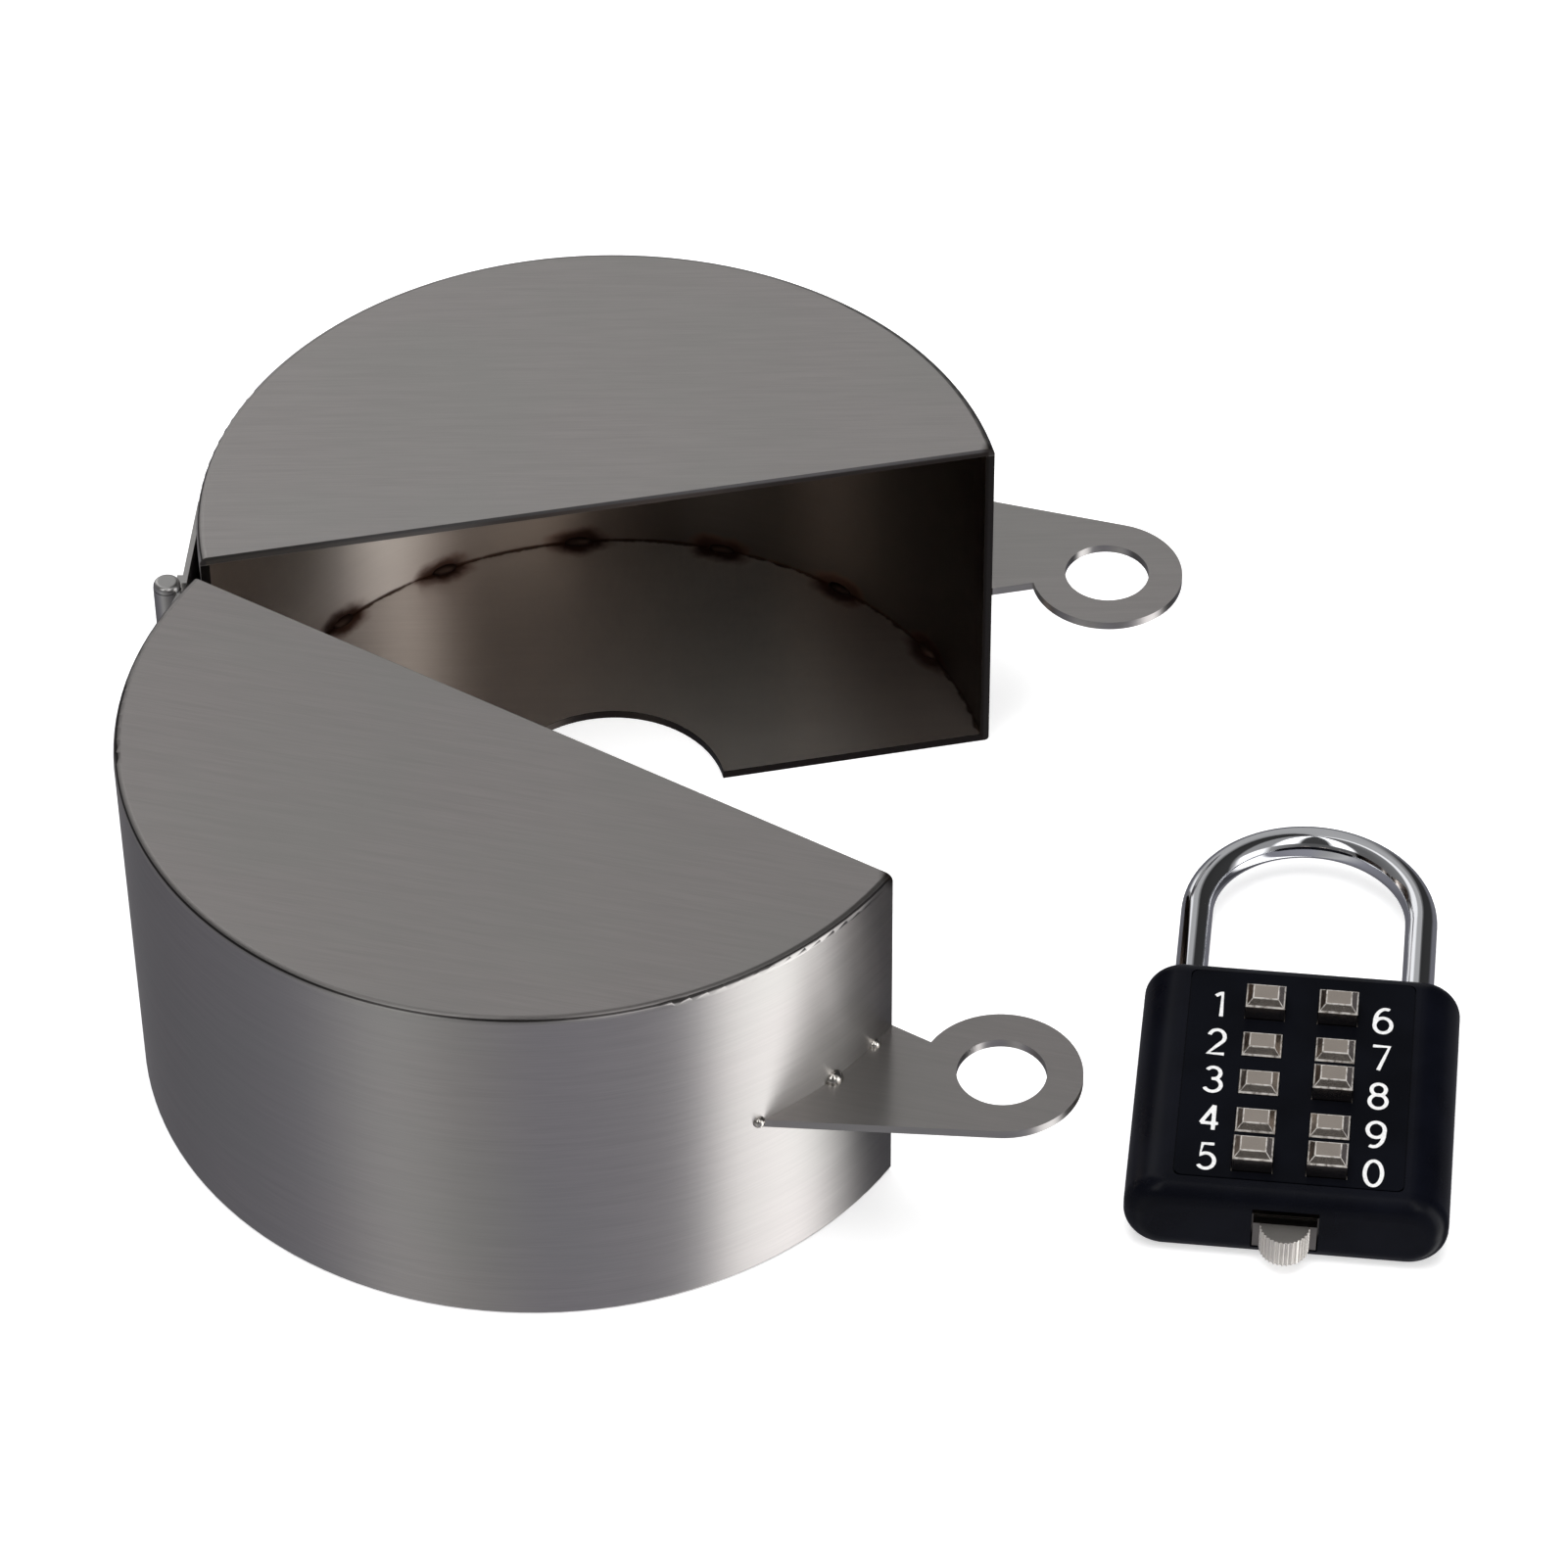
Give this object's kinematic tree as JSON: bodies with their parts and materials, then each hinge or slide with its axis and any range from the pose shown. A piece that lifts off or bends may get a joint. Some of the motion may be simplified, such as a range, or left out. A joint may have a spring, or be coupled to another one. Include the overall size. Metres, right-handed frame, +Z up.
{
  "type": "lock-out cover with combination padlock",
  "caption": "Round steel lock-out cover in hinged halves with eyed lugs, stood open beside its push-button combination padlock.",
  "frame": {"origin": "centre of the stem opening on the underside of the rear half, on the floor plane", "axes": "+Z up, out of the floor; the halves part at y = 0 with the rear half at +Y, and the hinge is on the -X side"},
  "size_m": [0.1694, 0.1596, 0.052],
  "materials": {
    "sheet_steel": "brushed",
    "weld_bead": "satin",
    "hinge_steel": "satin",
    "pin_steel": "satin",
    "black_enamel": "gloss",
    "black_face": "satin",
    "chrome_shackle": "polished",
    "button_nickel": "satin",
    "nickel_knob": "satin",
    "zinc_screw": "satin",
    "spring_steel": "satin"
  },
  "bodies": {
    "rear_half": {"rear_top_plate": "sheet_steel", "rear_wall": "sheet_steel", "rear_bottom_plate": "sheet_steel", "rear_lug": "sheet_steel", "rear_lug_welds": "weld_bead", "rear_tack_welds": "weld_bead", "rear_hinge_leaf": "hinge_steel", "hinge_pin": "pin_steel"},
    "front_half": {"front_top_plate": "sheet_steel", "front_wall": "sheet_steel", "front_bottom_plate": "sheet_steel", "front_lug": "sheet_steel", "front_lug_welds": "weld_bead", "front_tack_welds": "weld_bead", "front_hinge_leaf": "hinge_steel"},
    "padlock": {"lock_case": "black_enamel", "back_cover": "black_enamel", "back_cover_screws": "zinc_screw", "face_plate": "black_face", "retaining_pin": "pin_steel", "detent_strips": "spring_steel", "button_spring_1": "spring_steel", "button_spring_2": "spring_steel", "button_spring_3": "spring_steel", "button_spring_4": "spring_steel", "button_spring_5": "spring_steel", "button_spring_6": "spring_steel", "button_spring_7": "spring_steel", "button_spring_8": "spring_steel", "button_spring_9": "spring_steel", "button_spring_0": "spring_steel"},
    "shackle": {"shackle": "chrome_shackle"},
    "slider": {"slider_knob": "nickel_knob", "slider_plate": "nickel_knob"},
    "code_slide": {"code_slide": "zinc_screw"},
    "latch": {"latch": "zinc_screw"},
    "button_1": {"button_1": "button_nickel"},
    "button_2": {"button_2": "button_nickel"},
    "button_3": {"button_3": "button_nickel"},
    "button_4": {"button_4": "button_nickel"},
    "button_5": {"button_5": "button_nickel"},
    "button_6": {"button_6": "button_nickel"},
    "button_7": {"button_7": "button_nickel"},
    "button_8": {"button_8": "button_nickel"},
    "button_9": {"button_9": "button_nickel"},
    "button_0": {"button_0": "button_nickel"}
  },
  "joints": [
    {"name": "cover_hinge", "type": "hinge", "parent": "rear_half", "child": "front_half", "pos_m": [-0.057, 0, 0.0266], "axis": [0, 0, 1], "range_deg": [-136.3, 43.7]},
    {"name": "padlock_lift", "type": "slide", "parent": "rear_half", "child": "padlock", "axis": [0, 0, 1], "range_m": [0, 0.06]},
    {"name": "shackle_slide", "type": "slide", "parent": "padlock", "child": "shackle", "axis": [0.3148, 0.9492, 0], "range_m": [0, 0.01]},
    {"name": "slider_slide", "type": "slide", "parent": "padlock", "child": "slider", "axis": [0, 0, 1], "range_m": [0, 0.0024]},
    {"name": "code_slide_travel", "type": "slide", "parent": "padlock", "child": "code_slide", "axis": [-0.3148, -0.9492, 0], "range_m": [0, 0.0015]},
    {"name": "latch_travel", "type": "slide", "parent": "padlock", "child": "latch", "axis": [0.9492, -0.3148, 0], "range_m": [0, 0.0015]},
    {"name": "button_1_press", "type": "slide", "parent": "padlock", "child": "button_1", "axis": [0, 0, -1], "range_m": [0, 0.002], "deforming": ["button_spring_1"]},
    {"name": "button_2_press", "type": "slide", "parent": "padlock", "child": "button_2", "axis": [0, 0, 1], "range_m": [0, 0.002], "deforming": ["button_spring_2"]},
    {"name": "button_3_press", "type": "slide", "parent": "padlock", "child": "button_3", "axis": [0, 0, 1], "range_m": [0, 0.002], "deforming": ["button_spring_3"]},
    {"name": "button_4_press", "type": "slide", "parent": "padlock", "child": "button_4", "axis": [0, 0, 1], "range_m": [0, 0.002], "deforming": ["button_spring_4"]},
    {"name": "button_5_press", "type": "slide", "parent": "padlock", "child": "button_5", "axis": [0, 0, -1], "range_m": [0, 0.002], "deforming": ["button_spring_5"]},
    {"name": "button_6_press", "type": "slide", "parent": "padlock", "child": "button_6", "axis": [0, 0, -1], "range_m": [0, 0.002], "deforming": ["button_spring_6"]},
    {"name": "button_7_press", "type": "slide", "parent": "padlock", "child": "button_7", "axis": [0, 0, 1], "range_m": [0, 0.002], "deforming": ["button_spring_7"]},
    {"name": "button_8_press", "type": "slide", "parent": "padlock", "child": "button_8", "axis": [0, 0, -1], "range_m": [0, 0.002], "deforming": ["button_spring_8"]},
    {"name": "button_9_press", "type": "slide", "parent": "padlock", "child": "button_9", "axis": [0, 0, 1], "range_m": [0, 0.002], "deforming": ["button_spring_9"]},
    {"name": "button_0_press", "type": "slide", "parent": "padlock", "child": "button_0", "axis": [0, 0, -1], "range_m": [0, 0.002], "deforming": ["button_spring_0"]}
  ],
  "couplings": [
    {"joint": "code_slide_travel", "follows": "slider_slide", "ratio": 0.625},
    {"joint": "latch_travel", "follows": "slider_slide", "ratio": 0.625}
  ]
}
